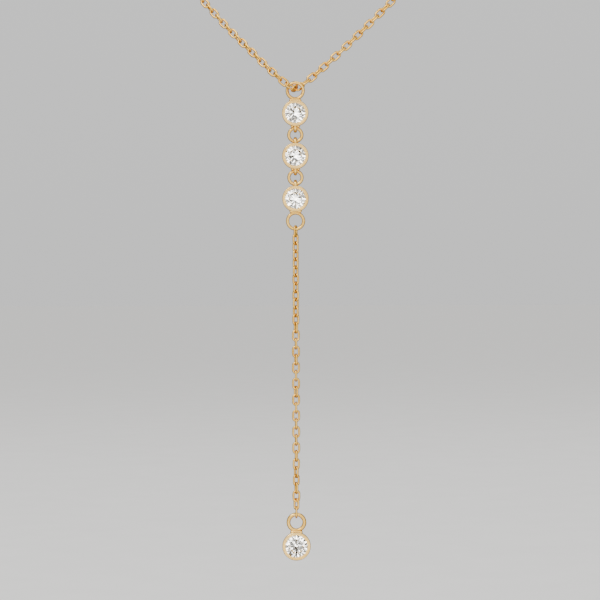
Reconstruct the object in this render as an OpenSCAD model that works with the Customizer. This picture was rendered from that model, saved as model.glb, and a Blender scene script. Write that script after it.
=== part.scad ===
// Y necklace of fine cable chain. Three bezel-set round stones and a straight
// length of chain with a fourth stone hang from a ring that the neck chain
// runs through. Millimetres, Z up, the stones face -Y. The origin is the
// middle of the neck opening, level with the clasp at the nape.

/* [Stones] */
// Diameter of the three upper stones
stone_d = 3.5; // [3.3:0.05:3.6]
// Diameter of the end stone
end_stone_d = 3.8; // [3.5:0.05:3.9]
// Crown height as a share of the stone's diameter
crown_share = 0.15; // [0.12:0.01:0.16]
// Pavilion depth as a share of the stone's diameter
pavilion_share = 0.43; // [0.38:0.01:0.45]

/* [Settings] */
// Depth of a bezel cup, front to back
cup_depth = 2.3; // [2.2:0.05:2.6]
// How far the cup's outside stands past the stone, on the radius
cup_wall = 0.3; // [0.25:0.01:0.32]
// From the first cup's centre to the centre of the top ring soldered to it
ring_reach = 3.56; // [3.5:0.01:3.58]
// From the third cup's centre to the centre of the ring soldered below it
low_reach = 3.43; // [3.4:0.01:3.56]
// From the end cup's centre to the centre of the ring soldered to it
end_reach = 3.62; // [3.55:0.01:3.68]
// From a cup's centre to the outside of its small eye
eye_reach = 3; // [2.98:0.01:3.04]
// Wire of the small eyes
eye_wire = 0.42; // [0.38:0.01:0.44]

/* [Rings] */
// Outside diameter of the soldered rings
ring_od = 3; // [2.95:0.01:3.05]
// Wire of the soldered rings
ring_wire = 0.5; // [0.46:0.01:0.5]
// Outside diameter of the two jump rings
jump_od = 2.55; // [2.5:0.01:2.56]
// Wire of the two jump rings
jump_wire = 0.5; // [0.46:0.01:0.52]

/* [Chain] */
// Width of the cable chain over its links
chain_w = 1.25; // [1.24:0.01:1.3]
// Wire of one link
link_wire = 0.34; // [0.3:0.01:0.34]
// Inside length of one link, which is the chain's pitch
link_pitch = 1.25; // [1.2:0.01:1.3]
// Links between the third and the end setting
drop_links = 36; // [20:1:40]

/* [Clasp] */
// Outside diameter of the clasp ring
clasp_od = 5.5; // [5.3:0.1:5.6]
// Thickness of the clasp ring
clasp_wire = 1.1; // [1:0.05:1.15]

/* [Hidden] */

$fn = 64;
gold = [0.89, 0.72, 0.42];
clear = [0.93, 0.94, 0.96];
slack = 0.03;               // gap where two pieces hang in each other

// Where the drop hangs: the middle of the chain inside the top ring
pivot = [0, -64, -88];

// Neck chain, from the clasp's left side down to the top ring and back up on
// the right. x, y, z are from the pivot, w is the tube's width as a share of
// chain_w, n the number of tube lengths to the next row. Inside the ring the chain runs from front
// to back, where its links lie edge-on and the tube is thinner.
route = [
  // x,     y,     z,     w,    n
  [ -4.6, 129.0, 88.0, 1.00, 2],
  [-20.0, 127.3, 88.0, 1.00, 3],
  [-38.5, 119.5, 88.0, 1.00, 3],
  [-53.0, 105.5, 87.0, 1.00, 3],
  [-61.0,  87.0, 84.0, 1.00, 3],
  [-61.5,  66.5, 78.0, 1.00, 3],
  [-56.0,  46.0, 67.5, 1.00, 3],
  [-44.7,  29.5, 51.5, 1.00, 3],
  [-29.7,  17.0, 32.2, 1.00, 3],
  [-14.9,   7.4, 14.9, 1.00, 2],
  [-10.1,   4.3,  9.3, 1.00, 1],
  [ -6.9,   2.1,  5.9, 1.00, 1],
  [ -4.4,   0.5, 3.25, 1.00, 1],
  [ -2.6,  -0.7,  1.5, 1.00, 2],
  [ -1.1,  -1.0, 0.25, 0.77, 2],
  [ -0.3, -0.55,  0.0, 0.51, 2],
  [  0.0,   0.0,  0.0, 0.48, 2],
  [  0.3,  0.55,  0.0, 0.51, 2],
  [  1.1,   1.0, 0.45, 0.77, 2],
  [  2.6,   1.3, 1.65, 1.00, 1],
  [  4.6,   1.7, 3.45, 1.00, 1],
  [  7.4,   2.2, 6.05, 1.00, 1],
  [ 10.5,   2.9,  9.1, 1.00, 2],
  [ 15.5,   4.0, 14.2, 1.00, 3],
  [ 29.7,  13.0, 31.0, 1.00, 3],
  [ 44.7,  27.5, 51.2, 1.00, 3],
  [ 56.0,  46.0, 67.5, 1.00, 3],
  [ 61.5,  66.5, 78.0, 1.00, 3],
  [ 61.0,  87.0, 84.0, 1.00, 3],
  [ 53.0, 105.5, 87.0, 1.00, 3],
  [ 38.5, 119.5, 88.0, 1.00, 3],
  [ 20.0, 127.3, 88.0, 1.00, 2],
  [  4.9, 129.0, 88.0, 1.00, 0]];
tube_sides = 8;

// Heights on the drop, from the pivot
ring_r = (ring_od - ring_wire) / 2;
ring_in = ring_od / 2 - ring_wire;
jump_in = jump_od / 2 - jump_wire;
cup_r = stone_d / 2 + cup_wall;
end_cup_r = end_stone_d / 2 + cup_wall;
cup_step = 2 * (eye_reach - eye_wire - slack + jump_in);
z_ring = 0.45 - ring_in;
z_cup = [for (k = [0:2]) z_ring - ring_reach - k * cup_step];
z_jump = [for (k = [0:1]) (z_cup[k] + z_cup[k + 1]) / 2];
z_low_ring = z_cup[2] - low_reach;
z_chain_top = z_low_ring - ring_in + slack;
z_chain_low = z_chain_top - drop_links * link_pitch;
z_end_ring = z_chain_low + slack - ring_in;
z_end_cup = z_end_ring - end_reach;

// ---- shapes used more than once ----

// Ring of round wire in the XZ plane
module wire_ring(r, wire) {
  rotate([90, 0, 0]) rotate_extrude($fn = 96) translate([r, 0]) circle(d = wire, $fn = 32);
}

// Half of the bend at a link's end, in the XZ plane, opening towards -z
module link_bend(r, wire) {
  rotate([90, 0, 0]) rotate_extrude(angle = 180, $fn = 64) translate([r, 0]) circle(d = wire, $fn = 32);
}

// One oval link in the XZ plane. Its inner end is at the origin, its length along -z
module oval_link() {
  r = (chain_w - link_wire) / 2;
  straight = link_pitch + link_wire - 2 * r;
  translate([0, 0, link_wire / 2 - r]) {
    link_bend(r, link_wire);
    translate([0, 0, -straight]) mirror([0, 0, 1]) link_bend(r, link_wire);
    for (side = [-1, 1]) translate([side * r, 0, -straight]) cylinder(d = link_wire, h = straight, $fn = 32);
  }
}

// Outside of a bezel cup of radius r, as half a section: rim at +y, back at -y
function cup_outside(r) = concat(
  [[0, -cup_depth / 2], [r * 0.72, -cup_depth / 2], [r * 0.965, cup_depth * 0.06], [r, cup_depth * 0.2]],
  [for (a = [0:15:90]) [r - 0.16 + 0.16 * cos(a), cup_depth / 2 - 0.16 + 0.16 * sin(a)]],
  [[0, cup_depth / 2]]);

// Inside of the cup for a stone of radius s: lip, pocket at the girdle, seat, open back
girdle_y = cup_depth / 2 - 0.35;
function cup_inside(s) = [
  [0, cup_depth / 2 + 1], [s + 0.1, cup_depth / 2 + 1], [s + 0.02, cup_depth / 2], [s - 0.07, cup_depth / 2 - 0.07],
  [s - 0.07, girdle_y + 0.17], [s + slack, girdle_y + 0.09], [s + slack, girdle_y - 0.09],
  [s * 0.56, girdle_y - s * 0.56], [s * 0.45, -cup_depth / 2 - 1], [0, -cup_depth / 2 - 1]];

// Bezel setting of one stone of radius s. rings holds how far above (or, negative, below) its
// centre each soldered ring stands, eyes 1 for a small eye above it and -1 for one below
module setting(s, rings, eyes) {
  difference() {
    union() {
      rotate([90, 0, 0]) rotate_extrude($fn = 96) polygon(cup_outside(s + cup_wall));
      for (z = rings) {
        translate([0, 0, z]) wire_ring(ring_r, ring_wire);
        translate([0, 0, z - sign(z) * (ring_od / 2 + 0.05)]) rotate([0, 90, 0]) cylinder(d = 0.56, h = 1.5, center = true, $fn = 32);
      }
      for (way = eyes) translate([0, 0, way * (eye_reach - eye_wire - 0.36)]) rotate([0, 0, 90]) wire_ring(0.36 + eye_wire / 2, eye_wire);
    }
    rotate([90, 0, 0]) rotate_extrude($fn = 96) polygon(cup_inside(s));
  }
}

// ---- round brilliant stone, radius s, girdle at height 0, table towards +z ----
girdle_t = 0.05;
function round_at(r, a, z) = [r * cos(a), r * sin(a), z];
// a facet that runs from height z0 at radius r0 to z1 at r1, at a corner 22.5 degrees to its side
function on_facet(r, r0, z0, r1, z1) = z0 + (r0 - r * cos(22.5)) * (z1 - z0) / (r0 - r1);
function brilliant_points(s) = let(
    crown = 2 * s * crown_share, pav = 2 * s * pavilion_share, table = 0.6 * s, star = 0.79 * s, low = 0.24 * s,
    star_z = on_facet(star, s, girdle_t, table, crown), low_z = on_facet(low, s, -girdle_t, 0, -pav))
  concat(
    [for (k = [0:7]) round_at(table, 45 * k, crown)],
    [for (k = [0:7]) round_at(star, 45 * k + 22.5, star_z)],
    [for (k = [0:15]) round_at(s, 22.5 * k, girdle_t)],
    [for (k = [0:15]) round_at(s, 22.5 * k, -girdle_t)],
    [for (k = [0:7]) round_at(low, 45 * k + 22.5, low_z)],
    [[0, 0, -pav]]);
T = 0; S = 8; GU = 16; GL = 32; L = 48; C = 56;
brilliant_faces = concat(
  [[for (k = [7:-1:0]) T + k]],
  [for (k = [0:7]) [T + k, T + (k + 1) % 8, S + k]],
  [for (k = [0:7]) [T + k, S + k, GU + 2 * k]],
  [for (k = [0:7]) [T + k, GU + 2 * k, S + (k + 7) % 8]],
  [for (k = [0:7]) [S + k, GU + 2 * k + 1, GU + 2 * k]],
  [for (k = [0:7]) [S + k, GU + (2 * k + 2) % 16, GU + 2 * k + 1]],
  [for (k = [0:15]) [GU + k, GU + (k + 1) % 16, GL + (k + 1) % 16]],
  [for (k = [0:15]) [GU + k, GL + (k + 1) % 16, GL + k]],
  [for (k = [0:7]) [L + k, GL + 2 * k, GL + 2 * k + 1]],
  [for (k = [0:7]) [L + k, GL + 2 * k + 1, GL + (2 * k + 2) % 16]],
  [for (k = [0:7]) [GL + 2 * k, L + k, C]],
  [for (k = [0:7]) [GL + 2 * k, C, L + (k + 7) % 8]]);

module stone(d) {
  translate([0, -girdle_y, 0]) rotate([90, 0, 0]) polyhedron(brilliant_points(d / 2), brilliant_faces);
}

// ---- neck chain as a swept tube ----
pts = [for (row = route) [row[0], row[1], row[2]]];
last = len(pts) - 1;
gap = [for (i = [0:last - 1]) norm(pts[i + 1] - pts[i])];
// direction of the route at row i, from the rows on both sides
function heading(i) =
  i == 0 ? (pts[1] - pts[0]) / gap[0] :
  i == last ? (pts[last] - pts[last - 1]) / gap[last - 1] :
  (gap[i] * (pts[i] - pts[i - 1]) / gap[i - 1] + gap[i - 1] * (pts[i + 1] - pts[i]) / gap[i]) / (gap[i - 1] + gap[i]);
// smooth curve between rows i and i + 1, u from 0 to 1, and its direction
function on_curve(i, u) = (2 * u * u * u - 3 * u * u + 1) * pts[i] + (u * u * u - 2 * u * u + u) * gap[i] * heading(i)
  + (3 * u * u - 2 * u * u * u) * pts[i + 1] + (u * u * u - u * u) * gap[i] * heading(i + 1);
function along_curve(i, u) = (6 * u * u - 6 * u) * (pts[i] - pts[i + 1]) + (3 * u * u - 4 * u + 1) * gap[i] * heading(i)
  + (3 * u * u - 2 * u) * gap[i] * heading(i + 1);
function tube_r(i) = route[i][3] * chain_w / 2;
// one ring of the tube around the point c
function tube_ring(c, way, r) = let(side = cross(way, [0, 0, 1]), s = side / norm(side), up = cross(s, way) / norm(way))
  [for (k = [0:tube_sides - 1]) let(a = (k + 0.5) * 360 / tube_sides) c + r * cos(a) * s + r * sin(a) * up];
tube_points = concat(
  [for (i = [0:last - 1], j = [0:route[i][4] - 1]) let(u = j / route[i][4])
    each tube_ring(on_curve(i, u), along_curve(i, u), tube_r(i) * (1 - u) + tube_r(i + 1) * u)],
  tube_ring(pts[last], heading(last), tube_r(last)));
tube_rings = len(tube_points) / tube_sides;
tube_faces = concat(
  [[for (k = [0:tube_sides - 1]) k]],
  [for (i = [0:tube_rings - 2], k = [0:tube_sides - 1]) let(a = i * tube_sides + k, b = i * tube_sides + (k + 1) % tube_sides)
    [a, a + tube_sides, b + tube_sides]],
  [for (i = [0:tube_rings - 2], k = [0:tube_sides - 1]) let(a = i * tube_sides + k, b = i * tube_sides + (k + 1) % tube_sides)
    [a, b + tube_sides, b]],
  [[for (k = [tube_sides - 1:-1:0]) (tube_rings - 1) * tube_sides + k]]);

// ---- clasp, at the nape ----
nape = pivot + [0, 129, 88];
clasp_r = (clasp_od - clasp_wire) / 2;
clasp_x = 1;                              // middle of the clasp ring
clasp_eye_r = 0.95;
clasp_eye_x = clasp_x - clasp_od / 2 - clasp_eye_r + 0.15;

// ---- the pieces ----

module neck_chain() {
  color(gold) {
    translate(pivot) polyhedron(tube_points, tube_faces);
    // last link on the left, through the clasp's eye
    translate(nape + [clasp_eye_x - clasp_eye_r + ring_wire / 2 + slack, 0, 0]) rotate([90, 0, 0]) rotate([0, 90, 0]) oval_link();
    // end ring on the right, through the clasp ring
    translate(nape + [clasp_x + clasp_r - clasp_wire / 2 - slack + ring_in, 0, 0]) rotate([90, 0, 0]) wire_ring(ring_r, ring_wire);
  }
}

module clasp() {
  color(gold) translate(nape) {
    translate([clasp_x, 0, 0]) wire_ring(clasp_r, clasp_wire);
    translate([clasp_eye_x, 0, 0]) wire_ring(clasp_eye_r, ring_wire);
  }
}

module setting_1() { color(gold) translate(pivot + [0, 0, z_cup[0]]) setting(stone_d / 2, [ring_reach], [-1]); }
module setting_2() { color(gold) translate(pivot + [0, 0, z_cup[1]]) setting(stone_d / 2, [], [1, -1]); }
module setting_3() { color(gold) translate(pivot + [0, 0, z_cup[2]]) setting(stone_d / 2, [-low_reach], [1]); }
module end_setting() { color(gold) translate(pivot + [0, 0, z_end_cup]) setting(end_stone_d / 2, [end_reach], []); }

module stone_1() { color(clear) translate(pivot + [0, 0, z_cup[0]]) stone(stone_d); }
module stone_2() { color(clear) translate(pivot + [0, 0, z_cup[1]]) stone(stone_d); }
module stone_3() { color(clear) translate(pivot + [0, 0, z_cup[2]]) stone(stone_d); }
module end_stone() { color(clear) translate(pivot + [0, 0, z_end_cup]) stone(end_stone_d); }

module jump_ring_1() { color(gold) translate(pivot + [0, 0, z_jump[0]]) wire_ring((jump_od - jump_wire) / 2, jump_wire); }
module jump_ring_2() { color(gold) translate(pivot + [0, 0, z_jump[1]]) wire_ring((jump_od - jump_wire) / 2, jump_wire); }

// Straight chain as a rod of the chain's width, with its first and last link whole
module drop_chain() {
  link_len = link_pitch + 2 * link_wire;
  color(gold) translate(pivot) {
    translate([0, 0, z_chain_top]) rotate([0, 0, 90]) oval_link();
    translate([0, 0, z_chain_low]) mirror([0, 0, 1]) rotate([0, 0, 90]) oval_link();
    translate([0, 0, z_chain_low + link_len - 2 * link_wire]) cylinder(d = chain_w, h = z_chain_top - z_chain_low - 2 * link_pitch);
  }
}

neck_chain();
clasp();
setting_1();
setting_2();
setting_3();
end_setting();
stone_1();
stone_2();
stone_3();
end_stone();
jump_ring_1();
jump_ring_2();
drop_chain();
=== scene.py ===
# Looks of the Y necklace: real interlocked links on both chains, bezel cups with a
# burnished lip, soldered rings and eyes, cut stones, and the studio around them.
# Lengths in the tables are millimetres in the CAD frame; meshes are made in metres.
import math

import bpy
import numpy as np
from mathutils import Matrix


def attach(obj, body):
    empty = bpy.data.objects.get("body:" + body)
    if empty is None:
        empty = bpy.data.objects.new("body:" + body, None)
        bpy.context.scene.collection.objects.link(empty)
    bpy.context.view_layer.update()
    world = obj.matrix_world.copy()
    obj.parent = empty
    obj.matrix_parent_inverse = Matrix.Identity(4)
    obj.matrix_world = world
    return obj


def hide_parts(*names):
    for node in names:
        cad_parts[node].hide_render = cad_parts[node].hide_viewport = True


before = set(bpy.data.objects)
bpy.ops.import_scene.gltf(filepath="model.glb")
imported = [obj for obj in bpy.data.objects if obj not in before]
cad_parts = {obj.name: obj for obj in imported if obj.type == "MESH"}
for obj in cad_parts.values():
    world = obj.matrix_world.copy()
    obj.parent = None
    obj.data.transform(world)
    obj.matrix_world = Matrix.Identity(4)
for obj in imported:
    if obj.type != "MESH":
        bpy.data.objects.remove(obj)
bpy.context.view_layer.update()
MM = 0.001

# ---------------------------------------------------------------- camera
# The drop's axis crosses the middle row of the picture at LOOK. The camera stands
# 300 mm in front of it, level, and is turned 0.17 degrees about its own axis.
LOOK = np.array([0.0, -64.0, -121.15])
ROLL, DIST, FOCAL_PX = math.radians(0.17), 300.0, 1926.0
ahead = np.array([0.0, 1.0, 0.0])
right0 = np.array([1.0, 0.0, 0.0])
up0 = np.array([0.0, 0.0, 1.0])
right = right0 * math.cos(ROLL) - up0 * math.sin(ROLL)
up = right0 * math.sin(ROLL) + up0 * math.cos(ROLL)
eye = LOOK - DIST * ahead + right0 * 0.654
cam_data = bpy.data.cameras.new("camera")
cam_data.sensor_width = 36.0
cam_data.lens = FOCAL_PX / 600.0 * 36.0
cam_data.clip_start, cam_data.clip_end = 0.02, 60.0
camera = bpy.data.objects.new("camera", cam_data)
bpy.context.collection.objects.link(camera)
camera.matrix_world = Matrix((
    (right[0], up[0], -ahead[0], eye[0] * MM),
    (right[1], up[1], -ahead[1], eye[1] * MM),
    (right[2], up[2], -ahead[2], eye[2] * MM),
    (0, 0, 0, 1)))
bpy.context.scene.camera = camera
TO_CAMERA = -ahead


# ---------------------------------------------------------------- materials
def new_material(name):
    mat = bpy.data.materials.new(name)
    mat.use_nodes = True
    mat.node_tree.nodes.clear()
    out = mat.node_tree.nodes.new("ShaderNodeOutputMaterial")
    bsdf = mat.node_tree.nodes.new("ShaderNodeBsdfPrincipled")
    mat.node_tree.links.new(bsdf.outputs["BSDF"], out.inputs["Surface"])
    return mat, mat.node_tree.nodes, mat.node_tree.links, bsdf


def noise(nodes, links, coords, scale, detail, rough=0.5):
    n = nodes.new("ShaderNodeTexNoise")
    n.inputs["Scale"].default_value = scale
    n.inputs["Detail"].default_value = detail
    n.inputs["Roughness"].default_value = rough
    links.new(coords, n.inputs["Vector"])
    return n.outputs["Fac"]


def ramp(nodes, links, fac, stops):
    r = nodes.new("ShaderNodeValToRGB")
    while len(r.color_ramp.elements) < len(stops):
        r.color_ramp.elements.new(0.5)
    for e, (pos, col) in zip(r.color_ramp.elements, stops):
        e.position = pos
        e.color = (*col, 1)
    links.new(fac, r.inputs["Fac"])
    return r.outputs["Color"]


def map_range(nodes, links, fac, lo, hi):
    m = nodes.new("ShaderNodeMapRange")
    m.inputs["From Min"].default_value = 0.3
    m.inputs["From Max"].default_value = 0.7
    m.inputs["To Min"].default_value = lo
    m.inputs["To Max"].default_value = hi
    links.new(fac, m.inputs["Value"])
    return m.outputs["Result"]


def gold(name, pale, warm, rough_lo, rough_hi, scratch):
    """Polished yellow gold: slow drift from pale to warm, soft polish marks, fine scratches."""
    mat, nodes, links, bsdf = new_material(name)
    bsdf.inputs["Metallic"].default_value = 1.0
    coords = nodes.new("ShaderNodeTexCoord").outputs["Object"]
    drift = noise(nodes, links, coords, 420.0, 3.0, 0.55)
    links.new(ramp(nodes, links, drift, [(0.34, warm), (0.62, pale)]), bsdf.inputs["Base Color"])
    polish = noise(nodes, links, coords, 1500.0, 4.0, 0.6)
    links.new(map_range(nodes, links, polish, rough_lo, rough_hi), bsdf.inputs["Roughness"])
    # fine scratches, stretched along one direction of the metal
    stretch = nodes.new("ShaderNodeMapping")
    stretch.inputs["Scale"].default_value = (5200.0, 1400.0, 900.0)
    stretch.inputs["Rotation"].default_value = (0.3, 0.6, 0.2)
    links.new(coords, stretch.inputs["Vector"])
    lines = noise(nodes, links, stretch.outputs["Vector"], 1.0, 5.0, 0.62)
    bump = nodes.new("ShaderNodeBump")
    bump.inputs["Strength"].default_value = scratch
    bump.inputs["Distance"].default_value = 0.00003
    links.new(lines, bump.inputs["Height"])
    links.new(bump.outputs["Normal"], bsdf.inputs["Normal"])
    return mat


def stone_material(name, rough_hi):
    """Clear cut stone: high refraction, and the faint haze of handling on its polish."""
    mat, nodes, links, bsdf = new_material(name)
    coords = nodes.new("ShaderNodeTexCoord").outputs["Object"]
    tint = noise(nodes, links, coords, 900.0, 2.0)
    links.new(ramp(nodes, links, tint, [(0.35, (0.985, 0.985, 1.0)), (0.65, (1.0, 0.995, 0.985))]),
              bsdf.inputs["Base Color"])
    haze = noise(nodes, links, coords, 2600.0, 3.0)
    links.new(map_range(nodes, links, haze, 0.0, rough_hi), bsdf.inputs["Roughness"])
    bsdf.inputs["Transmission Weight"].default_value = 1.0
    bsdf.inputs["IOR"].default_value = 2.3
    return mat


GOLD = gold("gold_polished", (0.90, 0.60, 0.17), (0.79, 0.48, 0.10), 0.10, 0.22, 0.35)
GOLD_WIRE = gold("gold_wire", (0.88, 0.56, 0.13), (0.75, 0.43, 0.07), 0.13, 0.26, 0.30)
# the cups take a paler copy of the gold, a painted highlight that brightens the burnished lip
GOLD_CUP_PAINTED_HIGHLIGHT = gold("gold_cup_painted_highlight", (0.92, 0.65, 0.24), (0.84, 0.55, 0.17), 0.09, 0.20, 0.40)
STONE = stone_material("stone_clear", 0.02)


# ---------------------------------------------------------------- mesh helpers
def mesh_piece(name, verts, faces, mat, body, smooth_angle=None):
    """verts in mm in the CAD frame"""
    me = bpy.data.meshes.new(name)
    me.from_pydata((np.asarray(verts, float) * MM).tolist(), [], faces)
    me.materials.append(mat)
    me.polygons.foreach_set("use_smooth", [True] * len(me.polygons))
    if smooth_angle:
        me.set_sharp_from_angle(angle=math.radians(smooth_angle))
    me.validate()
    me.update()
    ob = bpy.data.objects.new(name, me)
    bpy.context.collection.objects.link(ob)
    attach(ob, body)
    return ob


class Soup:
    """Vertices and faces of several closed shells, joined into one mesh."""

    def __init__(self):
        self.verts, self.faces, self.n = [], [], 0

    def add(self, verts, faces):
        verts = np.asarray(verts, float)
        self.verts.append(verts)
        self.faces.extend([tuple(i + self.n for i in f) for f in faces])
        self.n += len(verts)

    def piece(self, name, mat, body, smooth_angle=None):
        return mesh_piece(name, np.vstack(self.verts), self.faces, mat, body, smooth_angle)


def grid_faces(rows, cols, close_rows=True, close_cols=True):
    """Quads of a rows x cols grid of vertices, wrapped as asked, facing outwards for right-handed sweeps"""
    out = []
    for i in range(rows if close_rows else rows - 1):
        for j in range(cols if close_cols else cols - 1):
            a, b = i * cols + j, i * cols + (j + 1) % cols
            c, d = ((i + 1) % rows) * cols + (j + 1) % cols, ((i + 1) % rows) * cols + j
            out.append((a, b, c, d))
    return out


def sweep_loop(points, tangents, normal, wire_a, wire_b, sides):
    """Closed sweep of an ellipse (half axes wire_a in the plane, wire_b along normal) round a flat loop"""
    points, tangents = np.asarray(points), np.asarray(tangents)
    inward = np.cross(normal, tangents)
    t = np.arange(sides) * 2 * math.pi / sides
    ring = (np.cos(t)[None, :, None] * wire_a * inward[:, None, :]
            + np.sin(t)[None, :, None] * wire_b * np.asarray(normal)[None, None, :])
    return (points[:, None, :] + ring).reshape(-1, 3), grid_faces(len(points), sides)


def torus(centre, axis_x, axis_z, r, wire, sides=16, around=72, wide=None, cut=0.0, wobble=0.0):
    """Ring of round wire in the plane of axis_x and axis_z. wide is its width across that plane.
    cut opens a hairline seam, as in a closed jump ring, and wobble lets its outline stray a little."""
    axis_x, axis_z = np.array(axis_x, float), np.array(axis_z, float)
    normal = np.cross(axis_x, axis_z)
    a = np.arange(around) * 2 * math.pi / around
    rr = r * (1 + wobble * np.sin(3 * a + 0.7) + 0.6 * wobble * np.sin(5 * a + 2.1))
    p = np.array(centre, float) + (np.cos(a) * rr)[:, None] * axis_x + (np.sin(a) * rr)[:, None] * axis_z
    t = -np.sin(a)[:, None] * axis_x + np.cos(a)[:, None] * axis_z
    v, f = sweep_loop(p, t, normal, wire / 2, (wide or wire) / 2, sides)
    if cut:
        v = v.reshape(around, sides, 3)
        c = p[0]
        v[0] = c + (v[0] - c) * (1 - cut)          # a pinched section reads as the seam
        v = v.reshape(-1, 3)
    return v, f


X, Y, Z = np.eye(3)


# ---------------------------------------------------------------- chain links
def link_template(length, half_width, wire, bulge, along, sides):
    """One oval link, its length along z, its width along x, its normal along y. length is
    between the wire's middles at the two ends."""
    r = half_width
    straight = length - 2 * r
    n_bend = int(along * 0.36)
    n_side = max(3, (along - 2 * n_bend) // 2)
    pts = []
    for k in range(n_bend):                        # top bend, from +x over to -x
        a = math.pi * k / n_bend
        pts.append((r * math.cos(a), straight / 2 + r * math.sin(a)))
    for k in range(n_side):
        u = k / n_side
        pts.append((-(r + bulge * math.sin(math.pi * u) ** 2), straight / 2 - straight * u))
    for k in range(n_bend):
        a = math.pi + math.pi * k / n_bend
        pts.append((r * math.cos(a), -straight / 2 + r * math.sin(a)))
    for k in range(n_side):
        u = k / n_side
        pts.append((r + bulge * math.sin(math.pi * u) ** 2, -straight / 2 + straight * u))
    p = np.array([(x, 0.0, z) for x, z in pts])
    t = np.roll(p, -1, 0) - np.roll(p, 1, 0)
    t /= np.linalg.norm(t, axis=1)[:, None]
    return sweep_loop(p, t, -Y, wire / 2, wire / 2, sides)


def put_links(soup, places, template):
    """places: centre, direction, normal of each link"""
    v, f = template
    for c, d, n in places:
        w = np.cross(n, d)
        soup.add(c + v[:, :1] * w + v[:, 1:2] * n + v[:, 2:] * d, f)


def turn(v, axis, angle):
    return (v * math.cos(angle) + np.cross(axis, v) * math.sin(angle)
            + axis * np.dot(axis, v) * (1 - math.cos(angle)))


def carry(n, d0, d1):
    """n, square to d0, taken along to the direction d1 without twist"""
    axis = np.cross(d0, d1)
    s = np.linalg.norm(axis)
    if s > 1e-9:
        n = turn(n, axis / s, math.atan2(s, np.dot(d0, d1)))
    n = n - d1 * np.dot(n, d1)
    return n / np.linalg.norm(n)


# ---------------------------------------------------------------- the CAD's dimensions
PIVOT = np.array([0.0, -64.0, -88.0])
STONE_R, END_STONE_R, WALL, DEPTH = 1.75, 1.9, 0.3, 2.3
TOP_REACH, LOW_REACH, END_REACH, EYE_AT, RING_R, RING_WIRE = 3.56, 3.43, 3.62, 2.22, 1.25, 0.5
JUMP_R, JUMP_WIRE = 1.025, 0.5
WIRE, PITCH, WIDTH = 0.34, 1.25, 1.25
CUP_Z = [-4.11, -10.76, -17.41]
LOW_RING_Z = CUP_Z[2] - LOW_REACH
CHAIN_TOP_Z = LOW_RING_Z - 1.0 + 0.03
CHAIN_LOW_Z = CHAIN_TOP_Z - 36 * PITCH
END_CUP_Z = CHAIN_LOW_Z + 0.03 - 1.0 - END_REACH
NAPE = PIVOT + np.array([0.0, 129.0, 88.0])

# route of the neck chain from the pivot, as in the CAD
ROUTE = np.array([
    [-4.6, 129.0, 88.0], [-20.0, 127.3, 88.0], [-38.5, 119.5, 88.0], [-53.0, 105.5, 87.0],
    [-61.0, 87.0, 84.0], [-61.5, 66.5, 78.0], [-56.0, 46.0, 67.5], [-44.7, 29.5, 51.5],
    [-29.7, 17.0, 32.2], [-14.9, 7.4, 14.9], [-10.1, 4.3, 9.3], [-6.9, 2.1, 5.9],
    [-4.4, 0.5, 3.25], [-2.6, -0.7, 1.5], [-1.1, -1.0, 0.25], [-0.3, -0.55, 0.0],
    [0.0, 0.0, 0.0], [0.3, 0.55, 0.0], [1.1, 1.0, 0.45], [2.6, 1.3, 1.65],
    [4.6, 1.7, 3.45], [7.4, 2.2, 6.05], [10.5, 2.9, 9.1], [15.5, 4.0, 14.2],
    [29.7, 13.0, 31.0], [44.7, 27.5, 51.2], [56.0, 46.0, 67.5], [61.5, 66.5, 78.0],
    [61.0, 87.0, 84.0], [53.0, 105.5, 87.0], [38.5, 119.5, 88.0], [20.0, 127.3, 88.0],
    [4.9, 129.0, 88.0]])


def route_curve():
    gap = np.linalg.norm(np.diff(ROUTE, axis=0), axis=1)
    last = len(ROUTE) - 1
    way = [(ROUTE[1] - ROUTE[0]) / gap[0]]
    for i in range(1, last):
        way.append((gap[i] * (ROUTE[i] - ROUTE[i - 1]) / gap[i - 1]
                    + gap[i - 1] * (ROUTE[i + 1] - ROUTE[i]) / gap[i]) / (gap[i - 1] + gap[i]))
    way.append((ROUTE[last] - ROUTE[last - 1]) / gap[last - 1])
    pts, u = [], np.linspace(0, 1, 80, endpoint=False)[:, None]
    for i in range(last):
        pts.append((2 * u**3 - 3 * u**2 + 1) * ROUTE[i] + (u**3 - 2 * u**2 + u) * gap[i] * way[i]
                   + (3 * u**2 - 2 * u**3) * ROUTE[i + 1] + (u**3 - u**2) * gap[i] * way[i + 1])
    pts.append(ROUTE[-1:])
    pts = np.vstack(pts)
    s = np.concatenate([[0], np.cumsum(np.linalg.norm(np.diff(pts, axis=0), axis=1))])
    return s - s[80 * 16], pts


S, CURVE = route_curve()


def on_route(s):
    """Point of the route at s mm from the pivot. It runs on straight past both ends."""
    if s < S[0]:
        return CURVE[0] + (s - S[0]) * (CURVE[1] - CURVE[0]) / np.linalg.norm(CURVE[1] - CURVE[0])
    if s > S[-1]:
        return CURVE[-1] + (s - S[-1]) * (CURVE[-1] - CURVE[-2]) / np.linalg.norm(CURVE[-1] - CURVE[-2])
    return np.array([np.interp(s, S, CURVE[:, k]) for k in range(3)])


# Middles of the links along the route. Link 0 is the last flat one left of the top
# ring, link 5 the first flat one right of it, and four links pass through the ring.
S_LEFT, S_RIGHT = -2.53, 3.71
mids = {0: S_LEFT, 5: S_RIGHT}
for k in range(1, 5):
    mids[k] = S_LEFT + (S_RIGHT - S_LEFT) * k / 5
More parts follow.
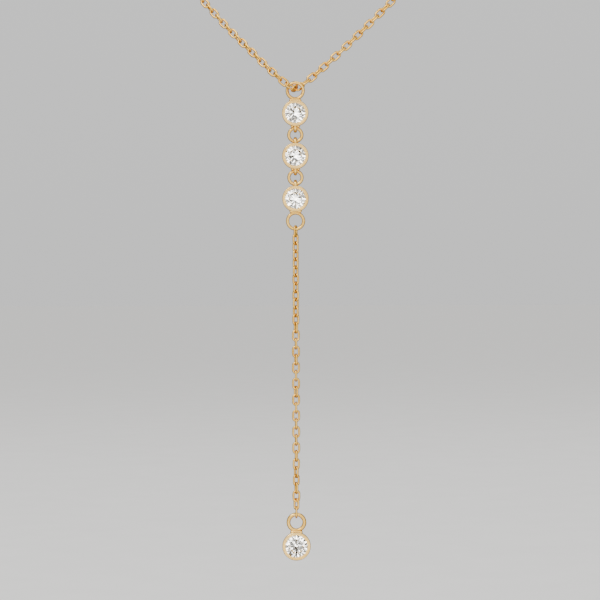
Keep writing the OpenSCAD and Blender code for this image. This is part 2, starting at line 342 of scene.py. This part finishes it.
# the clasp's own link on the left is at x -3.845, and the link in the end ring at x 5.215
left_end = S[0] + (ROUTE[0][0] + 3.845)
n_left = round((S_LEFT - left_end) / PITCH)
n_right = round((S[-1] + 0.315 - S_RIGHT) / PITCH)
for k in range(1, n_left + 1):
    mids[-k] = S_LEFT + (left_end - S_LEFT) * k / n_left
for k in range(1, n_right + 1):
    mids[5 + k] = S_RIGHT + (S[-1] + 0.315 - S_RIGHT) * k / n_right
order = sorted(mids)
s_mid = np.array([mids[k] for k in order])
s_joint = np.concatenate([[s_mid[0] - 0.6], (s_mid[1:] + s_mid[:-1]) / 2, [s_mid[-1] + 0.6]])
joint_pts = np.array([on_route(s) for s in s_joint])
# Where links 0 to 5 bear on each other inside the top ring: the chain comes
# in front of the ring's left side, drops through it and leaves behind the right side.
IN_RING = np.array([[-1.35, -1.13, 0.35], [-0.35, -0.63, -0.25], [0.13, 0.55, -0.19],
                    [1.13, 0.96, 0.52], [2.14, 1.22, 1.25]])
j0 = order.index(0) + 1
off_left, off_right = IN_RING[0] - joint_pts[j0], IN_RING[4] - joint_pts[j0 + 4]
for step, part in ((1, 0.75), (2, 0.5), (3, 0.25)):
    joint_pts[j0 - step] += part * off_left
    joint_pts[j0 + 4 + step] += part * off_right
joint_pts[j0:j0 + 5] = IN_RING
centres = (joint_pts[1:] + joint_pts[:-1]) / 2
dirs = np.diff(joint_pts, axis=0)
dirs /= np.linalg.norm(dirs, axis=1)[:, None]

# normals: carried along without twist from link 0, which faces the camera
i0 = order.index(0)
flat = np.zeros_like(dirs)
n = TO_CAMERA - dirs[i0] * np.dot(TO_CAMERA, dirs[i0])
flat[i0] = n / np.linalg.norm(n)
for i in range(i0 - 1, -1, -1):
    flat[i] = carry(flat[i + 1], dirs[i + 1], dirs[i])
for i in range(i0 + 1, len(order)):
    flat[i] = carry(flat[i - 1], dirs[i - 1], dirs[i])
# the normals of the four links in the ring, and of link 5, which faces the camera again
IN_RING_NORMALS = {1: (-0.61, 0.58, -0.54), 2: (0.80, -0.30, -0.52), 3: (-0.07, 0.91, -0.41), 4: (0.56, 0.33, -0.75)}
i5 = order.index(5)
want = TO_CAMERA - dirs[i5] * np.dot(TO_CAMERA, dirs[i5])
flat[i5] = want / np.linalg.norm(want)
for i in range(i5 + 1, len(order)):
    flat[i] = carry(flat[i - 1], dirs[i - 1], dirs[i])


def sway(k, size):
    """Small steady unevenness from link to link, in degrees"""
    return size * (math.sin(12.9 * k + 0.6) + 0.6 * math.sin(5.3 * k + 2.0)) / 1.6


places = {}
for i, k in enumerate(order):
    if k in IN_RING_NORMALS:
        nn = np.array(IN_RING_NORMALS[k])
        nn -= dirs[i] * np.dot(nn, dirs[i])
        nn /= np.linalg.norm(nn)
    else:
        roll = (3.0 if k % 2 == 0 else 73.0) if k <= 0 else (3.0 if k % 2 == 1 else -68.0)
        nn = turn(flat[i], dirs[i], math.radians(roll + sway(k, 5.0)))
    places[k] = (PIVOT + centres[i], dirs[i], nn)

# the two end links stand square to the clasp's eye and to the end ring
first, final = order[0], order[-1]
places[first] = (places[first][0], dirs[0], Z.copy())
places[final] = (places[final][0], dirs[-1], np.array([0.0, 1.0, 0.0]) - dirs[-1] * dirs[-1][1])

link = link_template(PITCH + 0.02 + WIRE, 0.45, WIRE, 0.01, 36, 12)
end_link = link_template(PITCH + WIRE, (WIDTH - WIRE) / 2, WIRE, 0.0, 40, 12)
thirds = [("neck_links_left", [k for k in order if first < k <= -1]),
          ("neck_links_middle", [k for k in order if 0 <= k <= 60]),
          ("neck_links_right", [k for k in order if 60 < k < final])]
for name, ks in thirds:
    soup = Soup()
    put_links(soup, [places[k] for k in ks], link)
    ob = soup.piece(name, GOLD_WIRE, "necklace")
    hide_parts("neck_chain")
soup = Soup()
put_links(soup, [places[first], places[final]], end_link)
soup.add(*torus(NAPE + np.array([1 + 2.2 - 0.55 - 0.03 + 1.0, 0, 0]), X, Y, RING_R, RING_WIRE, wobble=0.003))
ob = soup.piece("neck_chain_ends", GOLD_WIRE, "necklace")
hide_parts("neck_chain")

# ---------------------------------------------------------------- drop chain
# turn of each link about the vertical, 0 facing the camera, 90 edge-on
TURNS = [70, 46, -44, 48, -47, 53, -38, 55, -36, 47, -50, 34, -68, 14, -86, 4, -76, 2,
         -90, 7, -66, 10, -90, 4, -86, 2, -84, 0, -79, 30, -62, 37, -72, 8, -50, -90]
soup_links, soup_ends = [], []
for i, a in enumerate(TURNS):
    c = PIVOT + np.array([0.0, 0.0, CHAIN_TOP_Z - PITCH / 2 - PITCH * i])
    nn = turn(-Y, Z, math.radians(a))
    (soup_ends if i in (0, 35) else soup_links).append((c, -Z, nn))
soup = Soup()
put_links(soup, soup_links, link_template(PITCH + 0.02 + WIRE, 0.45, WIRE, 0.01, 44, 14))
put_links(soup, soup_ends, link_template(PITCH + 0.01 + WIRE, (WIDTH - WIRE) / 2, WIRE, 0.0, 44, 14))
ob = soup.piece("drop_links", GOLD_WIRE, "drop")
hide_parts("drop_chain")


# ---------------------------------------------------------------- bezel settings
def arc(cx, cy, r, a0, a1, n):
    return [(cx + r * math.cos(math.radians(a0 + (a1 - a0) * k / n)),
             cy + r * math.sin(math.radians(a0 + (a1 - a0) * k / n))) for k in range(n + 1)]


def cup_profile(s):
    """Closed half section of the cup for a stone of radius s: (radius, height towards the front)"""
    r, h = s + WALL, DEPTH / 2
    g = h - 0.35
    out = [(s * 0.56, g - s * 0.56), (s * 0.52, -0.55)]          # seat under the stone
    out += arc(s * 0.505 + 0.07, -h + 0.07, 0.07, 180, 270, 4)   # inner back edge
    out += arc(r * 0.72 - 0.09, -h + 0.09, 0.09, 270, 340, 4)    # outer back edge
    out += [(r * 0.80, -0.62), (r * 0.89, -0.2), (r * 0.955, 0.1), (r * 0.985, 0.3), (r, 0.5), (r, h - 0.3)]
    out += arc(r - 0.15, h - 0.15, 0.15, 0, 66, 8)               # outer lip
    out += arc(r - 0.205, h - 0.32, 0.32, 70, 108, 9)            # its rounded front
    out += [(s - 0.02, h - 0.055)] + arc(s - 0.12, h - 0.14, 0.08, 60, 190, 8)   # pressed over the stone
    out += [(s - 0.15, h - 0.195), (s + 0.03, g + 0.055), (s + 0.03, g - 0.09)]
    return out


def lathe(profile, centre, around):
    """Solid of revolution about the line through centre along Y, front towards -Y"""
    prof = np.array(profile)
    a = np.arange(around) * 2 * math.pi / around
    v = np.zeros((around, len(prof), 3))
    v[:, :, 0] = centre[0] + np.cos(a)[:, None] * prof[None, :, 0]
    v[:, :, 1] = centre[1] - prof[None, :, 1]
    v[:, :, 2] = centre[2] + np.sin(a)[:, None] * prof[None, :, 0]
    return v.reshape(-1, 3), grid_faces(around, len(prof))


def solder(centre, half, seed, n=20, soft=0.75):
    """Rounded pad of solder: a soft box with an uneven skin, squarer for a lower soft"""
    rows = n
    v = []
    for i in range(1, rows):
        th = math.pi * i / rows
        for j in range(2 * n):
            ph = math.pi * j / n
            d = np.array([math.sin(th) * math.cos(ph), math.sin(th) * math.sin(ph), math.cos(th)])
            q = np.sign(d) * np.abs(d) ** soft
            w = 1 + 0.03 * math.sin(2.4 * q[0] + seed) * math.cos(2.1 * q[2] + seed)
            v.append(centre + q * half * w)
    v = [centre + np.array([0, 0, half[2]])] + v + [centre - np.array([0, 0, half[2]])]
    f = []
    m = 2 * n
    for j in range(m):
        f.append((0, 1 + j, 1 + (j + 1) % m))
    for i in range(rows - 2):
        for j in range(m):
            a, b = 1 + i * m + j, 1 + i * m + (j + 1) % m
            f.append((a, a + m, b + m, b))
    end = len(v) - 1
    base = 1 + (rows - 2) * m
    for j in range(m):
        f.append((end, base + (j + 1) % m, base + j))
    return np.array(v), f


def setting(name, z, s, rings, eyes, seed, ring_r=RING_R, ring_wire=RING_WIRE):
    centre = PIVOT + np.array([0.0, 0.0, z])
    soup = Soup()
    soup.add(*lathe(cup_profile(s), centre, 112))
    of_cup = len(soup.faces)
    for reach in rings:
        way = math.copysign(1, reach)
        soup.add(*torus(centre + np.array([0, 0, reach]), X, Z, ring_r, ring_wire, 18, 88, wobble=0.004))
        soup.add(*solder(centre + np.array([0, 0, reach - way * 1.56]), np.array([0.97, 0.30, 0.34]), seed, soft=0.62))
    for way in eyes:
        soup.add(*torus(centre + np.array([0, 0, way * EYE_AT]), Y, Z, 0.57, 0.42, 16, 48, wide=0.54))
        soup.add(*solder(centre + np.array([0, 0, way * (s + WALL - 0.02)]), np.array([0.42, 0.55, 0.16]), seed + 1, 14))
        if way < 0:                                # the lower eyes stand on a wider foot
            soup.add(*solder(centre + np.array([0, 0, way * (s + WALL - 0.03)]), np.array([0.74, 0.34, 0.17]), seed + 2, 16, 0.5))
    ob = soup.piece(name + "_looks", GOLD_CUP_PAINTED_HIGHLIGHT, "drop", 32)
    ob.data.materials.append(GOLD)                 # rings, eyes and solder take the deeper gold; the cup's paler gold is a painted highlight on its burnished lip
    ob.data.polygons.foreach_set("material_index", [0] * of_cup + [1] * (len(soup.faces) - of_cup))
    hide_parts(name)


setting("setting_1", CUP_Z[0], STONE_R, [TOP_REACH], [-1], 0.4)
setting("setting_2", CUP_Z[1], STONE_R, [], [1, -1], 1.7)
setting("setting_3", CUP_Z[2], STONE_R, [-LOW_REACH], [1], 2.9)
setting("end_setting", END_CUP_Z, END_STONE_R, [END_REACH], [], 4.3, 1.24, 0.6)

for i, name in enumerate(("jump_ring_1", "jump_ring_2")):
    z = (CUP_Z[i] + CUP_Z[i + 1]) / 2
    seam = math.radians(205 + 40 * i)
    ax, az = math.cos(seam) * X + math.sin(seam) * Z, -math.sin(seam) * X + math.cos(seam) * Z
    soup = Soup()
    soup.add(*torus(PIVOT + np.array([0, 0, z]), ax, az, JUMP_R, JUMP_WIRE, 18, 80, cut=0.12, wobble=0.004))
    ob = soup.piece(name + "_looks", GOLD, "drop")
    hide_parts(name)

# ---------------------------------------------------------------- CAD nodes that stay
for name, mat in (("clasp", GOLD), ("stone_1", STONE), ("stone_2", STONE), ("stone_3", STONE), ("end_stone", STONE)):
    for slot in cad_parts[name].material_slots:
        slot.material = mat

# ---------------------------------------------------------------- studio
BACKDROP = 0.95
mat, nodes, links, bsdf = new_material("floor_pale")
coords = nodes.new("ShaderNodeTexCoord").outputs["Object"]
links.new(ramp(nodes, links, noise(nodes, links, coords, 60.0, 4.0), [(0.3, (0.785, 0.785, 0.785)), (0.7, (0.81, 0.81, 0.81))]),
          bsdf.inputs["Base Color"])
bsdf.inputs["Roughness"].default_value = 0.9
bsdf.inputs["Specular IOR Level"].default_value = 0.0
me = bpy.data.meshes.new("floor")
N = 96
fz = -0.205
me.from_pydata([(30 * math.cos(2 * math.pi * k / N), 30 * math.sin(2 * math.pi * k / N), fz) for k in range(N)],
               [], [tuple(range(N))])
me.materials.append(mat)
floor = bpy.data.objects.new("floor", me)
bpy.context.collection.objects.link(floor)
floor.visible_glossy = floor.visible_transmission = False   # metal and stones mirror the studio alone

world = bpy.data.worlds.new("studio")
world.use_nodes = True
bpy.context.scene.world = world
wn, wl = world.node_tree.nodes, world.node_tree.links
wn.clear()


def world_ramp(fac, stops, tint, stepped):
    r = wn.new("ShaderNodeValToRGB")
    if stepped:
        r.color_ramp.interpolation = "CONSTANT"
    while len(r.color_ramp.elements) < len(stops):
        r.color_ramp.elements.new(0.5)
    for e, (pos, v) in zip(r.color_ramp.elements, stops):
        e.position = pos
        e.color = (v * tint[0], v * tint[1], v * tint[2], 1)
    wl.new(fac, r.inputs["Fac"])
    return r.outputs["Color"]


def sky(fac, stops, strength, tint=(1.0, 1.0, 0.995), stepped=False):
    bg = wn.new("ShaderNodeBackground")
    wl.new(world_ramp(fac, stops, tint, stepped), bg.inputs["Color"])
    bg.inputs["Strength"].default_value = strength
    return bg.outputs["Background"]


way = wn.new("ShaderNodeSeparateXYZ")
outward = wn.new("ShaderNodeTexCoord").outputs["Generated"]
wl.new(outward, way.inputs["Vector"])


def turned_from(aim):
    """0 towards aim, 0.5 square to it, 1 behind"""
    dot = wn.new("ShaderNodeVectorMath")
    dot.operation = "DOT_PRODUCT"
    dot.inputs[1].default_value = aim
    wl.new(outward, dot.inputs[0])
    turned = wn.new("ShaderNodeMath")
    turned.operation = "ARCCOSINE"
    wl.new(dot.outputs["Value"], turned.inputs[0])
    half_turn = wn.new("ShaderNodeMath")
    half_turn.operation = "MULTIPLY"
    half_turn.inputs[1].default_value = 1 / math.pi
    wl.new(turned.outputs["Value"], half_turn.inputs[0])
    return half_turn.outputs["Value"]


front = turned_from((0.0, -0.9999, 0.0))           # the way the stones face
# 12 degrees off the front, to the viewer's lower left
aside = turned_from((-0.147, -0.978, -0.147))
# plain pale backdrop
plain = sky(way.outputs["Z"], [(0.0, 0.845), (0.03, 0.85), (0.5, 1.0)], BACKDROP)
# what polished metal mirrors: a lit room in front, dimmer at the sides and behind
mirrored = sky(front, [(0.0, 0.10), (0.045, 0.12), (0.07, 1.0), (0.17, 0.95), (0.31, 0.48), (0.45, 0.20), (0.60, 0.12), (1.0, 0.12)],
               2.8, (1.0, 0.94, 0.83))
# what the stones gather: rings of light around a viewer and wide ones at the sides
gathered = sky(aside, [(0.0, 0.09), (0.03, 0.34), (0.05, 0.035), (0.07, 0.85), (0.09, 0.005), (0.12, 0.06), (0.20, 0.005),
                       (0.25, 1.0), (0.36, 0.01), (0.42, 1.0), (0.50, 0.24), (0.60, 0.02)], 14.5, (1.0, 0.98, 0.91), True)
path = wn.new("ShaderNodeLightPath")
either = wn.new("ShaderNodeMath")
either.operation = "MAXIMUM"
wl.new(path.outputs["Is Camera Ray"], either.inputs[0])
wl.new(path.outputs["Is Diffuse Ray"], either.inputs[1])
through = wn.new("ShaderNodeMixShader")
wl.new(path.outputs["Is Transmission Ray"], through.inputs["Fac"])
wl.new(mirrored, through.inputs[1])
wl.new(gathered, through.inputs[2])
pick = wn.new("ShaderNodeMixShader")
wl.new(either.outputs["Value"], pick.inputs["Fac"])
wl.new(through.outputs["Shader"], pick.inputs[1])
wl.new(plain, pick.inputs[2])
wl.new(pick.outputs["Shader"], wn.new("ShaderNodeOutputWorld").inputs["Surface"])


def softbox(name, at, size, power, colour):
    """A panel overhead, level, so that it lights the floor without an edge"""
    data = bpy.data.lights.new(name, "AREA")
    data.shape, data.size, data.energy, data.color = "SQUARE", size, power, colour
    ob = bpy.data.objects.new(name, data)
    ob.location = at
    bpy.context.collection.objects.link(ob)


softbox("key", (-0.50, -0.62, 0.62), 0.50, 6.5, (1.0, 0.97, 0.93))
softbox("top", (0.20, 0.25, 0.85), 0.60, 3.5, (1.0, 1.0, 1.0))
